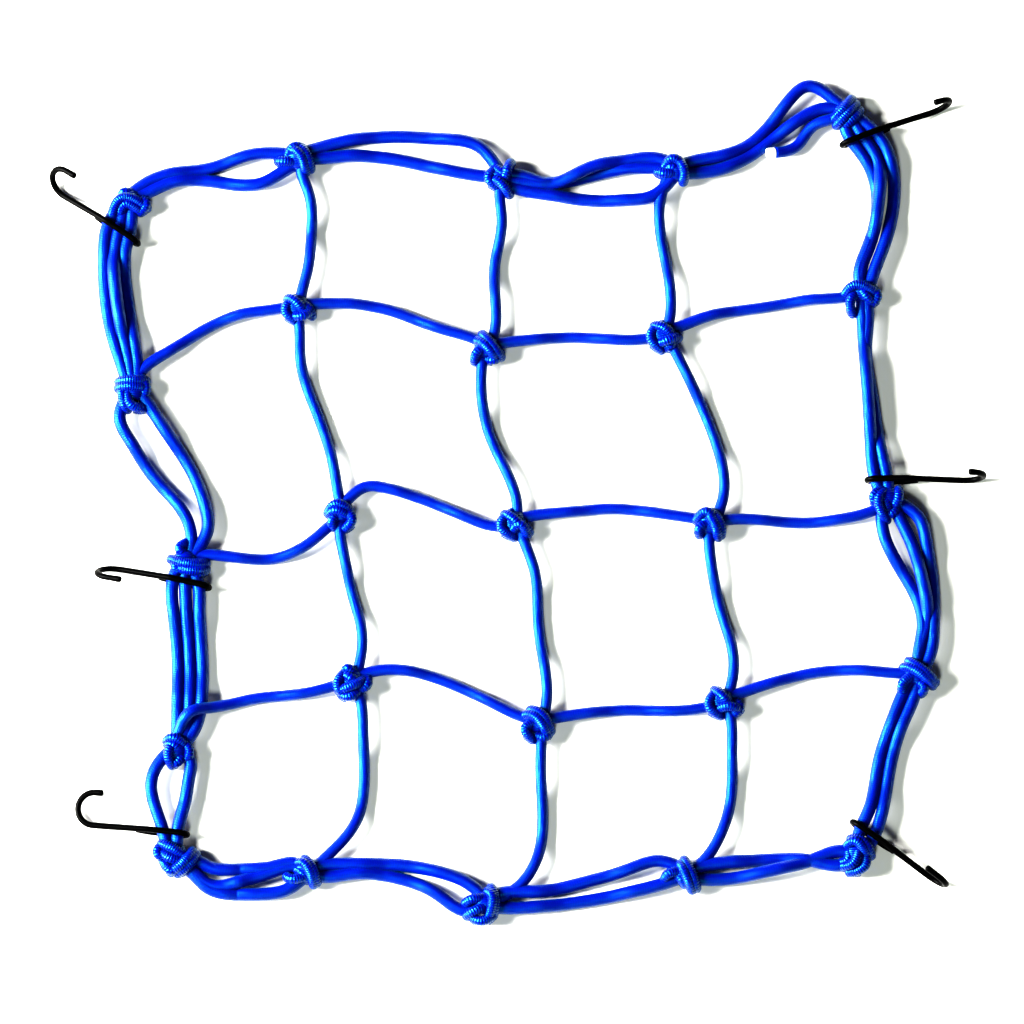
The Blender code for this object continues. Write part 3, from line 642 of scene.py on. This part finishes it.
def softened(route):
    """The same route with its corners rounded: each point is the mean of those near it, weighted
    by a raised cosine. The ends stay."""
    kernel = np.hanning(WIRE_SOFTEN + 2)[1:-1]
    kernel /= kernel.sum()
    pad = WIRE_SOFTEN // 2
    columns = (np.pad(route[:, k], pad, mode="edge") for k in range(3))
    soft = np.column_stack([np.convolve(column, kernel, mode="valid") for column in columns])
    soft[:pad], soft[-pad:] = route[:pad], route[-pad:]
    return soft


def hook_route(eye_end, heading, j_turn, foot_height, length, tip_length):
    """The wire's middle line: cut end, closed eye under the shaft, sloping shaft, open J. Straight
    runs meet arcs, and all corners are rounded by averaging along the wire."""
    eye_radius = (EYE_GAP + WIRE) / 2
    eye_top = EYE_FLOOR + 2 * eye_radius
    turn_in = WIRE / 2 + eye_radius
    shaft_end = length - WIRE / 2 - J_RADIUS
    slope = math.atan2(eye_top - foot_height, shaft_end - EYE_STRAIGHT)
    cut_end = (EYE_LENGTH, eye_top - (EYE_LENGTH - EYE_STRAIGHT) * math.tan(slope) - EYE_SHUT)
    half_shut = ((EYE_STRAIGHT + EYE_LENGTH) / 2, (EYE_FLOOR + cut_end[1]) / 2)
    eye = bent((turn_in, EYE_FLOOR + eye_radius), eye_radius, 270, 90)
    level = np.vstack((cut_end, half_shut, (EYE_STRAIGHT, EYE_FLOOR), eye, (EYE_STRAIGHT, eye_top)))
    ahead = np.array((math.cos(heading), math.sin(heading), 0))
    up = np.array(UP)
    base = np.array((*eye_end, 0))
    left = np.cross(up, ahead)
    down = ahead * math.cos(slope) - up * math.sin(slope)
    across = left * math.cos(j_turn) - np.cross(left, down) * math.sin(j_turn)
    foot = base + ahead * shaft_end + up * foot_height
    bend = bent((0, J_RADIUS), J_RADIUS, -90, 90)
    tip = (-(tip_length - WIRE / 2 - J_RADIUS), 2 * J_RADIUS)
    j_part = np.vstack((bend, tip))
    first = base + level[:, :1] * ahead + level[:, 1:] * up
    second = foot + j_part[:, :1] * down + j_part[:, 1:] * across
    return softened(evenly(np.vstack((first, second)), WIRE_STEP))


def wire_sides(heading, j_normal, before_end, j_run):
    """Guides square to the wire's plane, one a point: square to the eye's plane up to the shaft,
    square to the plane of the J at its end, and blended by a smooth step along the shaft."""
    eye_side = np.array((-math.sin(heading), math.cos(heading), 0))
    j_side = j_normal if j_normal.dot(eye_side) > 0 else -j_normal
    share = smooth_step((j_run + TWIST_FROM - before_end) / TWIST_RUN)[:, None]
    return (1 - share) * eye_side + share * j_side


def wire_radius(along, seed):
    """Radius along a wire: rounded off at the cut ends by a quarter ellipse, with the coating
    uneven, and a bell curve thicker near the last end."""
    total = along[-1]
    to_end = np.minimum(along, total - along)
    off_round = 1 - np.clip(to_end / CUT_ROUND, 0, 1)
    rounded = np.sqrt(np.clip(1 - off_round**2, CUT_LEAST, 1))
    drip = DRIP * np.exp(-(((total - along - DRIP_AT) / DRIP_RUN) ** 2))
    return WIRE / 2 * rounded * (uneven(along, seed) + drip)


def make_hooks():
    """Six coated wires: each a round tube along its hook's middle line."""
    for seed, (name, x, y, heading, j_turn, *lengths) in enumerate(HOOKS, WIRE_SEED):
        heading = math.radians(heading)
        eye_end = (x * MM + MIDDLE[0], y * MM + MIDDLE[1])
        foot, length, tip = (value * MM for value in lengths)
        route = hook_route(eye_end, heading, math.radians(j_turn), foot, length, tip)
        along = lengths_along(route)
        near, far = route[-1 - J_LOOK] - route[-1], route[-1 - 2 * J_LOOK] - route[-1]
        j_run = math.pi * J_RADIUS + tip - WIRE / 2 - J_RADIUS
        side = wire_sides(heading, unit(np.cross(near, far)), along[-1] - along, j_run)
        wire = Mesh()
        wire.tube(route, wire_radius(along, seed), WIRE_SIDES, side, cap_depth=WIRE_CAP)
        item = wire.make(name + "_wire", wire_black)
        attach(item, "root")
        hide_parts(name)


def plug_waver(angle_share, along):
    """Two small sines round the plug, of three and seven waves; the second also runs along it."""
    angle = 2 * math.pi * angle_share
    return PLUG_WAVER * (np.sin(3 * angle + 1) + np.sin(7 * angle + along / MM * 0.9))


def make_cord_end():
    """The cut end of the cord: a short round plug in line with the tail. The square of its radius
    falls off with the fifth power of the share along it, and its outline wavers."""
    before, last = (np.array(row) * MM + (*knot_middles[TAIL_KNOT], 0.0) for row in TAIL[-2:])
    share = np.linspace(0, 1, PLUG_STEPS)
    route = last + unit(last - before) * (PLUG_GAP + PLUG_LENGTH * share[:, None])
    radius = PLUG_RADIUS * np.sqrt(1 - PLUG_ROUND * share**5)
    plug = Mesh()
    plug.tube(route, radius, PLUG_SIDES, UP, plug_waver, cap_depth=PLUG_CAP)
    item = plug.make("cord_end_plug", cut_end_pale)
    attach(item, "root")
    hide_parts("cord_end")


# ---------------------------------------------------------------- materials


class Tree:
    """Short ways to add nodes to a tree and link them."""

    def __init__(self, tree):
        self.tree = tree

    def add(self, kind, **settings):
        """A new node with its settings."""
        node = self.tree.nodes.new(kind)
        for key, value in settings.items():
            setattr(node, key, value)
        return node

    def link(self, source, target):
        self.tree.links.new(source, target)

    def feed(self, value, target):
        """Sets a socket to a plain value, or links another socket to it."""
        if isinstance(value, (int, float, tuple)):
            target.default_value = value
        else:
            self.link(value, target)

    def calc(self, operation, *inputs):
        """One step of arithmetic on values or sockets."""
        node = self.add("ShaderNodeMath", operation=operation)
        for i, value in enumerate(inputs):
            self.feed(value, node.inputs[i])
        return node.outputs[0]

    def ramp(self, source, low, high):
        """A smooth step of the source from 0 at low to 1 at high."""
        node = self.add("ShaderNodeMapRange", interpolation_type="SMOOTHSTEP")
        node.inputs["From Min"].default_value = low
        node.inputs["From Max"].default_value = high
        self.link(source, node.inputs["Value"])
        return node.outputs["Result"]

    def scaled(self, place, scale):
        """The place with each of its parts multiplied by its own scale."""
        node = self.add("ShaderNodeVectorMath", operation="MULTIPLY")
        node.inputs[1].default_value = scale
        self.link(place, node.inputs[0])
        return node.outputs[0]

    def noise(self, place, scale, detail=3.0, rough=0.55):
        """A cloudy pattern between 0 and 1 with so many grains to a unit of the place."""
        node = self.add("ShaderNodeTexNoise")
        node.inputs["Scale"].default_value = scale
        node.inputs["Detail"].default_value = detail
        node.inputs["Roughness"].default_value = rough
        self.link(place, node.inputs["Vector"])
        return node.outputs["Fac"]

    def mix(self, share, first, second):
        """A colour between first and second; the sockets of colour mixing are 6 and 7."""
        node = self.add("ShaderNodeMix", data_type="RGBA")
        for value, index in ((share, 0), (first, 6), (second, 7)):
            self.feed(value, node.inputs[index])
        return node.outputs[2]

    def placed(self, group, place, **values):
        """A shared group of nodes on a place, with its own values."""
        node = self.add("ShaderNodeGroup", node_tree=group)
        self.link(place, node.inputs["Place"])
        for name, value in values.items():
            node.inputs[name].default_value = value
        return node.outputs

    def bump(self, height, strength, distance, invert=False):
        """A normal tilted by the slope of the height, which spans the distance."""
        node = self.add("ShaderNodeBump", invert=invert)
        node.inputs["Strength"].default_value = strength
        node.inputs["Distance"].default_value = distance
        self.link(height, node.inputs["Height"])
        return node.outputs[0]


def new_group(name, inputs, outputs):
    """An empty group of nodes that reads Place and the named inputs, with its two end nodes."""
    group = bpy.data.node_groups.new(name, "ShaderNodeTree")
    group.interface.new_socket(name="Place", in_out="INPUT", socket_type="NodeSocketVector")
    for socket_name, value in inputs:
        socket = group.interface.new_socket(
            name=socket_name, in_out="INPUT", socket_type="NodeSocketFloat"
        )
        socket.default_value = value
    for socket_name in outputs:
        group.interface.new_socket(name=socket_name, in_out="OUTPUT", socket_type="NodeSocketFloat")
    t = Tree(group)
    return group, t, t.add("NodeGroupInput").outputs, t.add("NodeGroupOutput").inputs


def braid_group():
    """Braided cover of a cord. The ribs are a raised cosine to the power 0.6, whose phase is the
    length along over Pitch plus Slant times a zigzag with Columns teeth round the cord. Height is
    the rib with its fine filaments and long streaks, Gap is 1 in the grooves between ribs, and
    Streak runs lengthwise."""
    inputs = (("Pitch", 1.1 * MM), ("Columns", 4.0), ("Slant", 0.55), ("Lengthwise", 1.6))
    group, t, given, out = new_group("cord_braid", inputs, ("Height", "Gap", "Streak"))
    place = given["Place"]
    parts = t.add("ShaderNodeSeparateXYZ")
    t.link(place, parts.inputs[0])
    round_it, along = parts.outputs[0], parts.outputs[1]
    column = t.calc("FRACT", t.calc("MULTIPLY", round_it, given["Columns"]))
    zigzag = t.calc("ABSOLUTE", t.calc("SUBTRACT", t.calc("MULTIPLY", column, 2.0), 1.0))
    phase = t.calc("MULTIPLY", zigzag, given["Slant"])
    phase = t.calc("ADD", t.calc("DIVIDE", along, given["Pitch"]), phase)
    wave = t.calc("COSINE", t.calc("MULTIPLY", phase, 2 * math.pi))
    rib = t.calc("POWER", t.calc("MULTIPLY_ADD", wave, 0.5, 0.5), 0.6)
    seam = t.ramp(t.calc("ABSOLUTE", t.calc("SUBTRACT", zigzag, 0.5)), 0.5, 0.38)
    filaments = t.noise(t.scaled(place, FILAMENTS), 1.0, 2.0)
    streak = t.ramp(t.noise(t.scaled(place, STREAKS), 1.0, 2.0), 0.35, 0.7)
    height = t.calc("MULTIPLY", rib, t.calc("MULTIPLY_ADD", seam, 0.35, 0.65))
    height = t.calc("ADD", height, t.calc("MULTIPLY", filaments, 0.18))
    height = t.calc("ADD", height, t.calc("MULTIPLY", streak, given["Lengthwise"]))
    t.link(height, out["Height"])
    t.link(t.calc("SUBTRACT", 1.0, t.ramp(rib, 0.05, 0.6)), out["Gap"])
    t.link(streak, out["Streak"])
    return group


def handled_group():
    """Slow patches of wear: Patch wanders between 0 and 1 over centimetres, Speck over a
    millimetre."""
    group, t, given, out = new_group("handled", (), ("Patch", "Speck"))
    t.link(t.ramp(t.noise(given["Place"], PATCHES), 0.3, 0.7), out["Patch"])
    t.link(t.ramp(t.noise(given["Place"], SPECKS), 0.35, 0.75), out["Speck"])
    return group


def new_material(name):
    """A material with its tree and the inputs of its surface shader."""
    material = bpy.data.materials.new(name)
    material.use_nodes = True
    tree = Tree(material.node_tree)
    return material, tree, material.node_tree.nodes["Principled BSDF"].inputs


def cord_material(name, ribs, rib_depth, groove_shade_share, gloss, roughness, depth):
    """Blue braided cover: royal blue yarns, navy painted shade in the grooves, a cool gloss along the
    cord.
    """
    material, t, shader = new_material(name)
    uv = t.add("ShaderNodeUVMap", uv_map="cord_uv")
    place = t.add("ShaderNodeTexCoord")
    braid = t.placed(braid_nodes, uv.outputs[0], **ribs)
    wear = t.placed(handled_nodes, place.outputs["Object"])
    streaks = t.calc("MULTIPLY", braid["Streak"], 0.5)
    yarn = t.mix(t.calc("MULTIPLY_ADD", wear["Patch"], 0.5, streaks), YARN_DEEP, YARN_LIGHT)
    # Painted shade: the grooves between ribs are darkened toward navy, by this share
    groove_shade = t.calc("MULTIPLY", braid["Gap"], groove_shade_share)
    t.link(t.mix(groove_shade, yarn, GROOVE_PAINTED_SHADE), shader["Base Color"])
    rough = t.calc("MULTIPLY_ADD", wear["Speck"], 0.1, roughness)
    t.link(t.calc("ADD", rough, t.calc("MULTIPLY", braid["Gap"], 0.15)), shader["Roughness"])
    t.link(t.bump(braid["Height"], 1.0, rib_depth), shader["Normal"])
    shader["Specular IOR Level"].default_value = gloss
    shader["Specular Tint"].default_value = YARN_GLOSS
    shader["Sheen Weight"].default_value = 0.06
    shader["Sheen Roughness"].default_value = 0.4
    shader["Sheen Tint"].default_value = YARN_SHEEN
    shader["Subsurface Weight"].default_value = depth
    shader["Subsurface Radius"].default_value = (0.1, 0.3, 1.0)
    shader["Subsurface Scale"].default_value = 1.6 * MM
    return material


def wire_material():
    """Black dipped coating over wire, with a faint orange-peel and rubbed patches."""
    material, t, shader = new_material("black_coated_wire_finish")
    place = t.add("ShaderNodeTexCoord").outputs["Object"]
    wear = t.placed(handled_nodes, place)
    t.link(t.mix(wear["Speck"], COATING_DARK, COATING_WORN), shader["Base Color"])
    t.link(t.calc("MULTIPLY_ADD", wear["Patch"], 0.1, 0.3), shader["Roughness"])
    t.link(t.bump(t.noise(place, ORANGE_PEEL, 2.0), 0.35, 0.04 * MM), shader["Normal"])
    shader["Specular IOR Level"].default_value = 0.02
    return material


def cut_end_material():
    """Pale melted end: the ends of the rubber strands show as soft cells."""
    material, t, shader = new_material("cut_end_finish")
    place = t.add("ShaderNodeTexCoord")
    cells = t.add("ShaderNodeTexVoronoi")
    cells.inputs["Scale"].default_value = RUBBER_CELLS
    t.link(place.outputs["Object"], cells.inputs["Vector"])
    off_middle = cells.outputs["Distance"]
    t.link(t.mix(t.ramp(off_middle, 0.2, 0.8), MELTED_PALE, MELTED_GREY), shader["Base Color"])
    t.link(t.bump(off_middle, 0.6, 0.15 * MM, invert=True), shader["Normal"])
    shader["Roughness"].default_value = 0.55
    return material


def floor_material():
    """Matt off-white sheet."""
    material, _, shader = new_material("plain_floor_finish")
    shader["Base Color"].default_value = (0.86, 0.86, 0.85, 1)
    shader["Roughness"].default_value = 0.95
    shader["Specular IOR Level"].default_value = 0.1
    return material


braid_nodes = braid_group()
handled_nodes = handled_group()
cord_blue = cord_material(
    "blue_braided_cord_finish",
    {"Pitch": 1.1 * MM, "Columns": 4, "Slant": 0.55, "Lengthwise": 1.6},
    rib_depth=0.05 * MM,
    groove_shade_share=0.25,
    gloss=0.38,
    roughness=0.33,
    depth=0.5,
)
cord_tight = cord_material(
    "blue_tight_turn_finish",
    {"Pitch": RIB_PITCH, "Columns": RIB_COLUMNS, "Slant": RIB_SLANT, "Lengthwise": 0.25},
    rib_depth=0.14 * MM,
    groove_shade_share=1.0,
    # the tight turns take the full painted shade in their grooves
    gloss=0.45,
    roughness=0.2,
    depth=0.2,
)
wire_black = wire_material()
cut_end_pale = cut_end_material()

for piece in (*make_strands(), *make_knots()):
    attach(piece, "root")
    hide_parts("net")
make_cord_end()
make_hooks()


# ---------------------------------------------------------------- stage, light and camera


def make_floor():
    """A plain pale sheet under the net: one wide square at the height of the surface."""
    half = FLOOR_HALF
    corners = np.array(((-half, -half, 0), (half, -half, 0), (half, half, 0), (-half, half, 0)))
    mesh = bpy.data.meshes.new("plain_floor")
    mesh.from_pydata(corners.tolist(), [], [(0, 1, 2, 3)])
    mesh.materials.append(floor_material())
    floor = bpy.data.objects.new("plain_floor", mesh)
    bpy.context.scene.collection.objects.link(floor)


def make_light(name, azimuth, elevation, distance, width, height, watts, colour):
    """A soft light box that faces the middle of the net. Azimuth is measured from +X."""
    lamp = bpy.data.lights.new(name, "AREA")
    lamp.shape = "RECTANGLE"
    lamp.size = width
    lamp.size_y = height
    lamp.energy = watts
    lamp.color = colour
    item = bpy.data.objects.new(name, lamp)
    a, e = math.radians(azimuth), math.radians(elevation)
    away = Vector((math.cos(a) * math.cos(e), math.sin(a) * math.cos(e), math.sin(e)))
    item.location = away * distance
    item.rotation_euler = (-away).to_track_quat("-Z", "Y").to_euler()
    bpy.context.scene.collection.objects.link(item)


def make_world(colour, strength):
    """Faint even light from all sides."""
    world = bpy.data.worlds.new("studio_air")
    world.use_nodes = True
    back = world.node_tree.nodes["Background"]
    back.inputs[0].default_value = (*colour, 1)
    back.inputs[1].default_value = strength
    bpy.context.scene.world = world


def make_camera():
    """Above the net and a little to the front, far off with a long lens."""
    tilt = math.radians(VIEW_TILT)
    target = Vector(VIEW_AIM)
    lens = bpy.data.cameras.new("studio_camera")
    lens.sensor_width = SENSOR
    lens.lens = SENSOR * VIEW_AWAY / VIEW_WIDTH
    lens.clip_end = 50
    camera = bpy.data.objects.new("studio_camera", lens)
    camera.location = target + Vector((0, -math.cos(tilt), math.sin(tilt))) * VIEW_AWAY
    camera.rotation_euler = (target - camera.location).to_track_quat("-Z", "Y").to_euler()
    bpy.context.scene.collection.objects.link(camera)
    bpy.context.scene.camera = camera


make_floor()
make_light(
    "key_light",
    azimuth=180,
    elevation=25,
    distance=2.8,
    width=1.0,
    height=2.2,
    watts=690,
    colour=(1.0, 0.99, 0.93),
)
make_light(
    "front_light",
    azimuth=266,
    elevation=50,
    distance=3.0,
    width=0.6,
    height=0.6,
    watts=42,
    colour=(0.93, 1.0, 0.9),
)
make_world(colour=(0.95, 0.97, 0.98), strength=0.05)
make_camera()
bpy.context.scene.view_settings.view_transform = "Standard"
bpy.context.scene.view_settings.look = "High Contrast"
